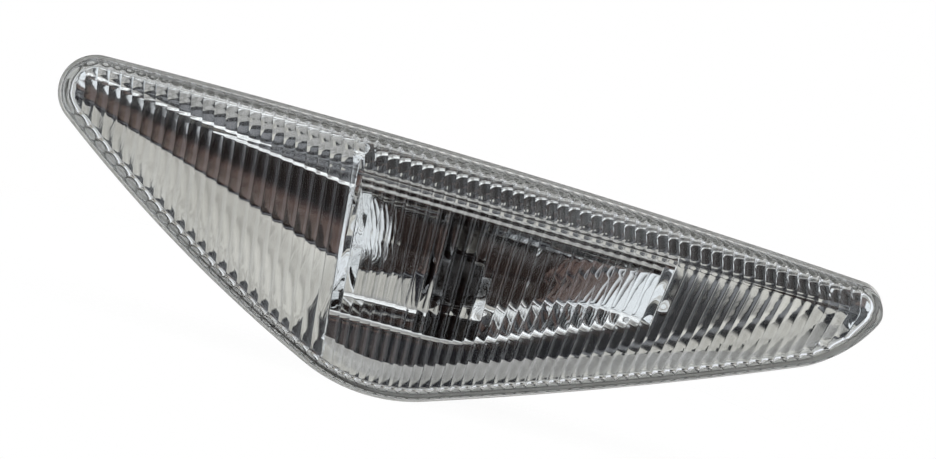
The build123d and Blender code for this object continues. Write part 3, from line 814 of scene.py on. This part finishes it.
# %% Wall with a ledge
LEDGE_EDGE, LEDGE_BACK, LEDGE_START = 4.2, 3.4, 4.75
LEDGE_LEFT, LEDGE_RIGHT = (-20.0, 4.6), (68.0, 3.2)
LEDGE_SLOPE = 0.52
LEDGE_RISE, LEDGE_FADE = (RIB_OFFSET + 1.0, RIB_OFFSET + 2.5), (66.0, 70.0)
WALL_INSETS = [
    6.15, 5.7, 5.25, 4.81, 4.79, 4.5, 4.2, 4.0, 3.8, 3.6,
    3.4, 3.2, 3.0, 2.8, 2.6, 2.45, 2.3, 2.1, 1.9, 1.7,
]
loop, place = grid_rim(mirror, first, last, top, low)
insets = np.full(len(points), NO_WALL[0])
at = ring_point(place, LEDGE_EDGE)
on_ledge = soft_step(at[:, 0], *LEDGE_RISE) * (1 - soft_step(at[:, 0], *LEDGE_FADE))
on_ledge = on_ledge * (at[:, 1] > 0)
ledge_line = np.interp(at[:, 0], *zip(LEDGE_LEFT, LEDGE_RIGHT))
ledge_edge = blend(LEDGE_EDGE, ledge_line, on_ledge)
stretch = (ledge_edge - MIRROR_EDGE_INSET) / (LEDGE_EDGE - MIRROR_EDGE_INSET)
lead_in = (LEDGE_START - ledge_edge) / (LEDGE_START - LEDGE_EDGE)
ledge_fall = (LEDGE_SLOPE + WALL_SLOPE) * (LEDGE_EDGE - LEDGE_BACK) * stretch * on_ledge
for inset in WALL_INSETS:
    own = np.full(len(place), inset)
    if LEDGE_EDGE < inset < LEDGE_START:
        own = LEDGE_START - (LEDGE_START - inset) * lead_in
    elif MIRROR_EDGE_INSET < inset <= LEDGE_EDGE:
        own = MIRROR_EDGE_INSET + (inset - MIRROR_EDGE_INSET) * stretch
    at = wall_point(place, own) if inset < LEDGE_START else ring_point(place, inset)
    fall = np.interp(inset, [MIRROR_EDGE_INSET, LEDGE_BACK, LEDGE_EDGE], [0, 1, 0]) * ledge_fall
    loop = mirror_skin.grow(loop, at, mirror_height(*at.T, own) + fall)
    insets = np.append(insets, np.full(len(at), inset))
print("wall of", len(WALL_INSETS), "rings")

# %% [markdown]
# ### The back of the mirror
# The moulding is an even shell, so every front point gets a partner behind it, and the free edges
# of the front are joined to those of the back. A Solidify modifier would thicken along the
# normals and cut into itself at the rib.

# %% Close the reflector's back
MIRROR_CREASE_ANGLE = 40
points = np.concatenate(mirror_skin.points)
back_y = np.where(insets < SHELL_INSET, RIM_BACK, points[:, 1] + MIRROR_WALL)
back = mirror_skin.add(points[:, 0], back_y, points[:, 2])
front_faces = list(mirror_skin.faces)
edge_use = {}
for face in front_faces:
    for a, b in zip(face, face[1:] + face[:1]):
        edge_use.setdefault((min(a, b), max(a, b)), []).append((a, b))
for face in front_faces:
    mirror_skin.face(*(back[c] for c in reversed(face)))
for uses in edge_use.values():
    if len(uses) == 1:
        a, b = uses[0]
        mirror_skin.face(b, a, back[a], back[b])
used = np.unique([c for face in mirror_skin.faces for c in face])
renumber = np.full(len(points) * 2, -1)
renumber[used] = np.arange(len(used))
mirror_skin.points = [np.concatenate(mirror_skin.points)[used]]
mirror_skin.faces = [renumber[face].tolist() for face in mirror_skin.faces]

mirror_reflector = mirror_skin.build("mirror_reflector", MIRROR_CREASE_ANGLE)
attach(mirror_reflector, "lamp")
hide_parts("reflector")

# %% [markdown]
# ## Finishes
# Each finish is a small node tree around one shader. Values that are the same all over sit on the
# shader's own sockets. Noise in the object's own coordinates adds what a moulding really shows:
# slight waviness, grain and roughness that changes from place to place. The scale of a noise is
# counted per metre, so 1000 is one millimetre. A node or socket knows its own tree as id_data, so
# most helpers take only sockets.


# %% Node helpers
def feed(node, inputs):
    """Fills inputs of a node, each with a plain value or a link from another node's output."""
    for name, value in inputs.items():
        if isinstance(value, bpy.types.NodeSocket):
            node.id_data.links.new(value, node.inputs[name])
        else:
            node.inputs[name].default_value = value


def new_node(tree, kind, inputs, operation=None):
    """A node with its inputs filled, set to an operation if it knows more than one."""
    node = tree.nodes.new("ShaderNode" + kind)
    if operation:
        node.operation = operation
    feed(node, inputs)
    return node


def own_place(tree):
    """The object's own coordinates."""
    return new_node(tree, "TexCoord", {}).outputs["Object"]


def noise(tree, scale, detail, stretch=(1, 1, 1)):
    """Noise in the object's own coordinates, stretched along its axes."""
    mapping = new_node(tree, "Mapping", {"Vector": own_place(tree), "Scale": stretch})
    inputs = {"Vector": mapping.outputs["Vector"], "Scale": scale, "Detail": detail}
    return new_node(tree, "TexNoise", inputs).outputs["Fac"]


def spread(value, low, high, start=0.3, end=0.7):
    """Maps a value to a range, by default from the range that noise rarely leaves."""
    limits = {"From Min": start, "From Max": end, "To Min": low, "To Max": high}
    return new_node(value.id_data, "MapRange", {"Value": value, **limits}).outputs["Result"]


print("node helpers are ready")

# %% Finish helpers
DRIFT = (0.35, 0.65)


def new_finish(name, colour, roughness, metallic=0.0):
    """A material with a shader set to plain values, ready for noise."""
    finish = bpy.data.materials.new(name)
    finish.use_nodes = True
    tree = finish.node_tree
    shader = tree.nodes["Principled BSDF"]
    feed(shader, {"Base Color": (*colour, 1), "Roughness": roughness, "Metallic": metallic})
    return finish, tree, shader


def tint(shader, value, *colours):
    """Base colour that drifts between two colours."""
    ramp = new_node(value.id_data, "ValToRGB", {"Fac": value})
    for stop, position, colour in zip(ramp.color_ramp.elements, DRIFT, colours):
        stop.position = position
        stop.color = (*colour, 1)
    feed(shader, {"Base Color": ramp.outputs["Color"]})


def roughen(shader, value, low, high):
    """Roughness that changes from place to place."""
    feed(shader, {"Roughness": spread(value, low, high)})


def bump(shader, value, height):
    """Surface relief of a height in metres."""
    inputs = {"Height": value, "Strength": 1.0, "Distance": height}
    relief = new_node(value.id_data, "Bump", inputs)
    feed(shader, {"Normal": relief.outputs["Normal"]})


def wear(piece, finish):
    piece.data.materials.clear()
    piece.data.materials.append(finish)
    print(piece.name, "wears", finish.name)


print("finish helpers are ready")

# %% [markdown]
# ### Clear acrylic
# Acrylic bends light less than glass, with an index of 1.49. The mouldings of the lens are
# polished, so roughness stays close to zero, and a faint swell of the surface keeps reflections
# from looking computed.

# %% Clear acrylic
acrylic, tree, shader = new_finish("clear_acrylic", (0.97, 0.975, 0.97), 0.0)
feed(shader, {"Transmission Weight": 1.0, "IOR": 1.49})
tint(shader, noise(tree, 60, 2), (0.955, 0.96, 0.95), (0.98, 0.985, 0.98))
roughen(shader, noise(tree, 240, 4), 0.0, 0.03)
bump(shader, noise(tree, 180, 2), 0.000012)
wear(clear_lens, acrylic)

# %% [markdown]
# ### Mirror coat
# Aluminium is evaporated onto the reflector in a vacuum and covered with a clear lacquer. The
# lacquer drains downwards before it hardens, so its faint waves are stretched upright. The rim is
# masked while the coat is put on, and there the pale plastic stays bare.

# %% Mirror coat
LACQUER_WAVES = (1.0, 0.4, 0.03)
mirror_coat, tree, shader = new_finish("mirror_coat", (0.87, 0.88, 0.88), 0.04, 1.0)
tint(shader, noise(tree, 90, 3), (0.84, 0.845, 0.84), (0.9, 0.905, 0.905))
roughen(shader, noise(tree, 500, 4), 0.02, 0.07)
bump(shader, noise(tree, 1900, 2, LACQUER_WAVES), 0.000009)
wear(mirror_reflector, mirror_coat)

# %% [markdown]
# ### Plastics, foam and rubber
# The housing and the holder leave the mould with a fine grain, the gasket is cut from foam with
# open pores at its cut faces, and the seal is smooth silicone. One helper serves them all, since
# they differ only in colour, roughness and the size of their grain.


# %% Moulded plastics, foam and rubber
def moulded(name, dark, light, roughness, grain, height):
    """Moulded finish with a fine grain and slightly uneven colour."""
    finish, tree, shader = new_finish(name, light, roughness)
    tint(shader, noise(tree, 300, 4), dark, light)
    roughen(shader, noise(tree, 700, 3), roughness - 0.08, roughness + 0.1)
    bump(shader, noise(tree, grain, 3), height)
    return finish


PALE_PLASTIC = ((0.64, 0.63, 0.6), (0.69, 0.68, 0.65), 0.5, 3200, 0.00004)
FOAM = ((0.035, 0.035, 0.036), (0.06, 0.06, 0.062), 0.85, 1800, 0.00015)
NYLON = ((0.045, 0.045, 0.047), (0.075, 0.075, 0.078), 0.42, 2600, 0.00004)
SILICONE = ((0.08, 0.08, 0.09), (0.1, 0.1, 0.11), 0.55, 1500, 0.00003)
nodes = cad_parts
wear(nodes["rear_housing"], moulded("housing_grain", *PALE_PLASTIC))
wear(nodes["panel_gasket"], moulded("gasket_foam", *FOAM))
wear(nodes["bulb_holder"], moulded("holder_nylon", *NYLON))
wear(nodes["holder_seal"], moulded("seal_silicone", *SILICONE))

# %% Bare rim of the reflector
RIM_NEARNESS, RIM_FACING = 0.02, -0.999
mirror_reflector.data.materials.append(moulded("bare_rim", *PALE_PLASTIC))
rim_faces = [
    face for face in mirror_reflector.data.polygons
    if abs(face.center.y / MM - RIM_FRONT) < RIM_NEARNESS and face.normal.y < RIM_FACING
]
for face in rim_faces:
    face.material_index = 1
print("bare rim faces:", len(rim_faces))

# %% [markdown]
# ### Metals
# Rolled strip, stamped blades and drawn wire all carry fine lines along the direction of working.
# Noise that is stretched along one axis gives these lines, and it drives colour, roughness and
# relief together, as in the metal.


# %% Metals
def metal(name, dark, light, low, high, stretch):
    """Metal with drawing or rolling lines along one direction."""
    finish, tree, shader = new_finish(name, light, (low + high) / 2, 1.0)
    lines = noise(tree, 2500, 3, stretch)
    tint(shader, lines, dark, light)
    roughen(shader, lines, low, high)
    bump(shader, lines, 0.00001)
    return finish


ALONG_STRIP, ALONG_Y, NO_LINES = (0.05, 0.05, 1), (1, 0.06, 1), (0.2, 0.2, 0.2)
STEEL = ((0.52, 0.52, 0.52), (0.66, 0.66, 0.65), 0.2, 0.38, ALONG_STRIP)
BRASS = ((0.7, 0.55, 0.28), (0.82, 0.68, 0.38), 0.22, 0.36, ALONG_Y)
WIRE = ((0.55, 0.54, 0.52), (0.68, 0.67, 0.65), 0.18, 0.3, ALONG_Y)
# The bulb's silver is made nearly black as painted shade: the bowl mirrors the bulb, and its
# darkness stands in for the shade deep inside the lamp.
BULB_PAINTED_SHADE = ((0.018, 0.017, 0.017), (0.034, 0.033, 0.032), 0.03, 0.09, NO_LINES)
wear(nodes["retaining_spring"], metal("rolled_steel", *STEEL))
wear(nodes["contact_blades"], metal("stamped_brass", *BRASS))
wear(nodes["bulb_lead_wires"], metal("drawn_wire", *WIRE))
wear(nodes["wedge_bulb"], metal("silvered_glass_painted_dark", *BULB_PAINTED_SHADE))

# %% [markdown]
# ## Studio
# A mirror shows the room and not itself, so the room is planned. The camera looks a little from
# the left at a lamp that is tilted in the picture. The surround is white to the camera, in
# reflections and through glass, and lights the lamp at a lower level.

# %% Camera
TARGET = Vector((-0.55, -5.2, -4.85)) * MM
DISTANCE, FOCAL_LENGTH, SENSOR_WIDTH = 0.42, 89.74, 36.0
AZIMUTH, ELEVATION, ROLL = -8.0, 2.0, radians(16.0)


def studio_point(azimuth, elevation, distance):
    """A point of the studio: azimuth to the right of the front, elevation above level."""
    a, e = radians(azimuth), radians(elevation)
    return Vector((sin(a) * cos(e), -cos(a) * cos(e), sin(e))) * distance


back_way = studio_point(AZIMUTH, ELEVATION, 1.0)
level_right = (-back_way).cross(Vector((0, 0, 1))).normalized()
level_up = level_right.cross(-back_way)
right_way = cos(ROLL) * level_right + sin(ROLL) * level_up
up_way = cos(ROLL) * level_up - sin(ROLL) * level_right
turned = Matrix((right_way, up_way, back_way)).transposed().to_4x4()
camera = bpy.data.objects.new("camera", bpy.data.cameras.new("camera"))
scene.collection.objects.link(camera)
camera.data.lens = FOCAL_LENGTH
camera.data.sensor_width = SENSOR_WIDTH
camera.data.clip_start = 0.01
camera.matrix_world = Matrix.Translation(TARGET + back_way * DISTANCE) @ turned
scene.camera = camera
print("camera at", [round(v, 3) for v in camera.location])


# %% Studio helpers
def smooth_range(value, start, end):
    """Soft step from 0 to 1 between two values."""
    inputs = {"Value": value, "From Min": start, "From Max": end}
    step = new_node(value.id_data, "MapRange", inputs)
    step.interpolation_type = "SMOOTHSTEP"
    return step.outputs["Result"]


def two_values(operation, a, b):
    """Result of a sum, product or the like of a socket and a number or another socket."""
    return new_node(a.id_data, "Math", {0: a, 1: b}, operation).outputs[0]


def seen_share(tree):
    """1 for the camera, reflections and views through glass, 0 for light that falls on things."""
    path = new_node(tree, "LightPath", {}).outputs
    seen = two_values("ADD", path["Is Camera Ray"], path["Is Glossy Ray"])
    seen = two_values("ADD", seen, path["Is Transmission Ray"])
    return two_values("MINIMUM", seen, 1.0)


def studio_mesh(name, points, face_list):
    """A mesh that belongs to the studio and not to the lamp."""
    mesh = bpy.data.meshes.new(name)
    mesh.from_pydata(points, [], face_list)
    piece = bpy.data.objects.new(name, mesh)
    scene.collection.objects.link(piece)
    return piece


print("studio helpers are ready")

# %% Surround
SHADE_LEVEL = 0.55
world = bpy.data.worlds.new("white_surround")
scene.world = world
world.use_nodes = True
tree = world.node_tree
level = spread(seen_share(tree), SHADE_LEVEL, 1.0, 0.0, 1.0)
feed(tree.nodes["Background"], {"Color": (1, 1, 1, 1), "Strength": level})
print("surround lights the lamp at", SHADE_LEVEL)

# %% [markdown]
# ### A tent of tones
# Product photographers put chrome into a tent, so that every facet has something plain to
# reflect. This tent is a sphere of light that only reflections and views through the lens can
# see. Low in front it is black and brown, ahead of the lamp it is dusky, above a slanting line it
# turns pale, and overhead it is white. The slant turns the border into a row of teeth once the
# flutes break it up. Folds in the cloth make the tones uneven.

# %% Tent shape
TENT_RADIUS, TENT_SIDES = 0.8, 24
tent_points = [
    tuple(studio_point(a, e, TENT_RADIUS))
    for e in np.linspace(-90, 90, TENT_SIDES + 1)
    for a in np.linspace(0, 360, TENT_SIDES, endpoint=False)
]
tent_faces = []
for start in range(0, TENT_SIDES**2, TENT_SIDES):
    for side in range(TENT_SIDES):
        here, there = start + side, start + (side + 1) % TENT_SIDES
        tent_faces.append((here, there, there + TENT_SIDES, here + TENT_SIDES))
tent = studio_mesh("studio_tent", tent_points, tent_faces)
tent.visible_camera = False
tent.visible_diffuse = False
tent.visible_shadow = False
print("tent of", len(tent_faces), "panels")


# %% Tent cloth helpers
def tent_mix(share, first, second):
    """Colour between two colours or colour sockets."""
    mix = new_node(share.id_data, "Mix", {})
    mix.data_type = "RGBA"
    a, b = [(*c, 1) if isinstance(c, tuple) else c for c in (first, second)]
    feed(mix, {"Factor": share, "A": a, "B": b})
    return mix.outputs["Result"]


def scaled(colour, factor):
    """Colour socket times a number socket."""
    inputs = {0: colour, "Scale": factor}
    return new_node(colour.id_data, "VectorMath", inputs, "SCALE").outputs[0]


def tone_ramp(value, tones):
    """Colour that follows a row of tones while a value runs from -1 to 1."""
    ramp = new_node(value.id_data, "ValToRGB", {"Fac": spread(value, 0.0, 1.0, -1.0, 1.0)})
    stops = ramp.color_ramp.elements
    for position, colour in tones:
        stops.new(position).color = (*colour, 1)
    stops.remove(stops[0])
    stops.remove(stops[-1])
    return ramp.outputs["Color"]


tent_cloth = bpy.data.materials.new("studio_tent")
tent_cloth.use_nodes = True
tent.data.materials.append(tent_cloth)
tree = tent_cloth.node_tree
tree.nodes.remove(tree.nodes["Principled BSDF"])
way = new_node(tree, "VectorMath", {0: own_place(tree)}, "NORMALIZE").outputs[0]
way_x, way_y, way_z = new_node(tree, "SeparateXYZ", {0: way}).outputs
print("tent cloth is ready for its tones")

# %% Dark front of the tent
WARM, BROWN, BLACK = (0.34, 0.32, 0.28), (0.108, 0.075, 0.068), (0.02, 0.021, 0.024)
DUSK, BAND_TONE = (0.02, 0.021, 0.026), (0.2, 0.208, 0.23)
LOW_TONES = [
    (0.02, WARM), (0.04, BLACK), (0.13, BLACK), (0.19, BROWN), (0.4, BROWN), (0.44, DUSK),
    (0.49, DUSK), (0.508, BAND_TONE), (0.53, BAND_TONE), (0.548, DUSK), (0.999, DUSK),
]
DARK_GAIN, DARK_LOW, DARK_RIGHT = 0.22, (-0.06, -0.16), (-0.02, 0.08)
low_part = smooth_range(way_z, *DARK_LOW)
right_part = smooth_range(way_x, *DARK_RIGHT)
low_and_right = two_values("MULTIPLY", low_part, right_part)
dark = tone_ramp(way_z, LOW_TONES)
dark = scaled(dark, spread(low_and_right, 1.0, DARK_GAIN, 0.0, 1.0))
print("low tones:", len(LOW_TONES))

# %% Pale front of the tent
NEAR_PALE, FAR_PALE, NEAR_FROM = (0.62, 0.61, 0.58), (0.38, 0.38, 0.37), (-0.05, 0.22)
HIGH_PALE, HIGH_FROM = (0.43, 0.43, 0.43), (0.45, 0.58)
TOP_PALE, TOP_FROM = (1.3, 1.33, 1.38), (0.7, 0.77)
FRONT_TILT, TILT_FROM, PALE_FROM = 0.95, 0.155, (0.17, 0.23)
CLOTH_FOLDS, FOLD_STRETCH, FOLD_SHADE, FOLD_SHINE = 9.0, (1, 1, 0.25), 0.65, 1.25
pale = tent_mix(smooth_range(way_x, *NEAR_FROM), FAR_PALE, NEAR_PALE)
pale = tent_mix(smooth_range(way_z, *HIGH_FROM), pale, HIGH_PALE)
pale = tent_mix(smooth_range(way_z, *TOP_FROM), pale, TOP_PALE)
slant = two_values("SUBTRACT", way_x, TILT_FROM)
slant = two_values("MULTIPLY", slant, FRONT_TILT)
slant = two_values("ADD", way_z, slant)
front = tent_mix(smooth_range(slant, *PALE_FROM), dark, pale)
folds = noise(tree, CLOTH_FOLDS, 2, FOLD_STRETCH)
front = scaled(front, spread(folds, FOLD_SHADE, FOLD_SHINE))
print("pale between", PALE_FROM)

# %% Sides and back of the tent
# Light that has bounced off a dull surface behind the lens gets a gain, since the lamps can't
# reach there.
SIDE_TONE, SIDE_MIDDLE, SIDE_FROM = (0.98, 1.03, 1.1), 0.12, (0.42, 0.56)
BACK_TONE, BACK_FROM = (0.5, 0.5, 0.49), (0.0, 0.1)
GROUND_TONE, GROUND_FROM = (1.0, 1.0, 1.0), (0.7, 0.85)
BOUNCE_GAIN = 1.2
aside = two_values("SUBTRACT", way_x, SIDE_MIDDLE)
aside = two_values("ABSOLUTE", aside, 0.0)
around = tent_mix(smooth_range(aside, *SIDE_FROM), front, SIDE_TONE)
around = tent_mix(smooth_range(way_y, *BACK_FROM), around, BACK_TONE)
around = tent_mix(smooth_range(way_y, *GROUND_FROM), around, GROUND_TONE)
bounces = new_node(tree, "LightPath", {}).outputs["Diffuse Depth"]
bounced = two_values("MINIMUM", bounces, 1.0)
strength = spread(bounced, 1.0, 1.0 + BOUNCE_GAIN, 0.0, 1.0)
glow = new_node(tree, "Emission", {"Color": around, "Strength": strength})
feed(tree.nodes["Material Output"], {"Surface": glow.outputs[0]})
print("tent cloth has", len(tree.nodes), "nodes")

# %% [markdown]
# ### Soft lights
# Three large lamps light the dull surfaces from the left, from the right and from behind. They
# are large, so their shadows are soft, and weak enough for a colour to come out about as it is
# written.


# %% Soft lights
def soft_light(name, azimuth, elevation, distance, size, power):
    """A large square lamp aimed at the object."""
    data = bpy.data.lights.new(name, "AREA")
    data.size = size
    data.energy = power
    light = bpy.data.objects.new(name, data)
    scene.collection.objects.link(light)
    light.location = studio_point(azimuth, elevation, distance)
    light.rotation_mode = "QUATERNION"
    light.rotation_quaternion = light.location.to_track_quat("Z", "Y")


soft_light("key_light", -40, 50, 0.9, 0.6, 4.0)
soft_light("fill_light", 55, 30, 1.0, 0.7, 2.5)
soft_light("back_light", 170, 45, 1.0, 0.7, 3.0)
print("three soft lights")

# %% [markdown]
# ### Floor
# The floor is a pale disc under and behind the lamp that fades out towards its edge, so no
# horizon shows. Most of what the camera sees of it is plain white, and a small share is lit
# paint, which keeps the lamp's shadow.

# %% Floor
FLOOR_LEVEL, FLOOR_BEHIND = -0.0386, 0.16
FLOOR_RADIUS, FLOOR_SIDES = 0.32, 64
FADE_START, FADE_END = 0.1, 0.165
WHITE_SHARE = 0.85
corners = [2 * pi * k / FLOOR_SIDES for k in range(FLOOR_SIDES)]
floor_points = [(FLOOR_RADIUS * cos(a), FLOOR_RADIUS * sin(a), 0) for a in corners]
floor = studio_mesh("pale_floor", floor_points, [list(range(FLOOR_SIDES))])
floor.location = (0, FLOOR_BEHIND, FLOOR_LEVEL)

floor_finish, tree, paint = new_finish("pale_floor", (0.86, 0.86, 0.86), 0.9)
floor.data.materials.append(floor_finish)
glow = new_node(tree, "Emission", {"Strength": 1.0})
white = two_values("MULTIPLY", seen_share(tree), WHITE_SHARE)
lit = new_node(tree, "MixShader", {"Fac": white, 1: paint.outputs[0], 2: glow.outputs[0]})
away = new_node(tree, "VectorMath", {0: own_place(tree)}, "LENGTH").outputs["Value"]
fade = spread(away, 0.0, 1.0, FADE_START, FADE_END)
clear = new_node(tree, "BsdfTransparent", {})
faded = new_node(tree, "MixShader", {"Fac": fade, 1: lit.outputs[0], 2: clear.outputs[0]})
feed(tree.nodes["Material Output"], {"Surface": faded.outputs[0]})
print("floor at", FLOOR_LEVEL)

# %% [markdown]
# ### Light paths
# Light crosses the lens four times and bounces in the bowl in between, so paths may be longer
# than usual.

# %% Light paths
scene.cycles.max_bounces = 24
scene.cycles.glossy_bounces = 10
scene.cycles.transmission_bounces = 16
print("bounces:", scene.cycles.max_bounces)
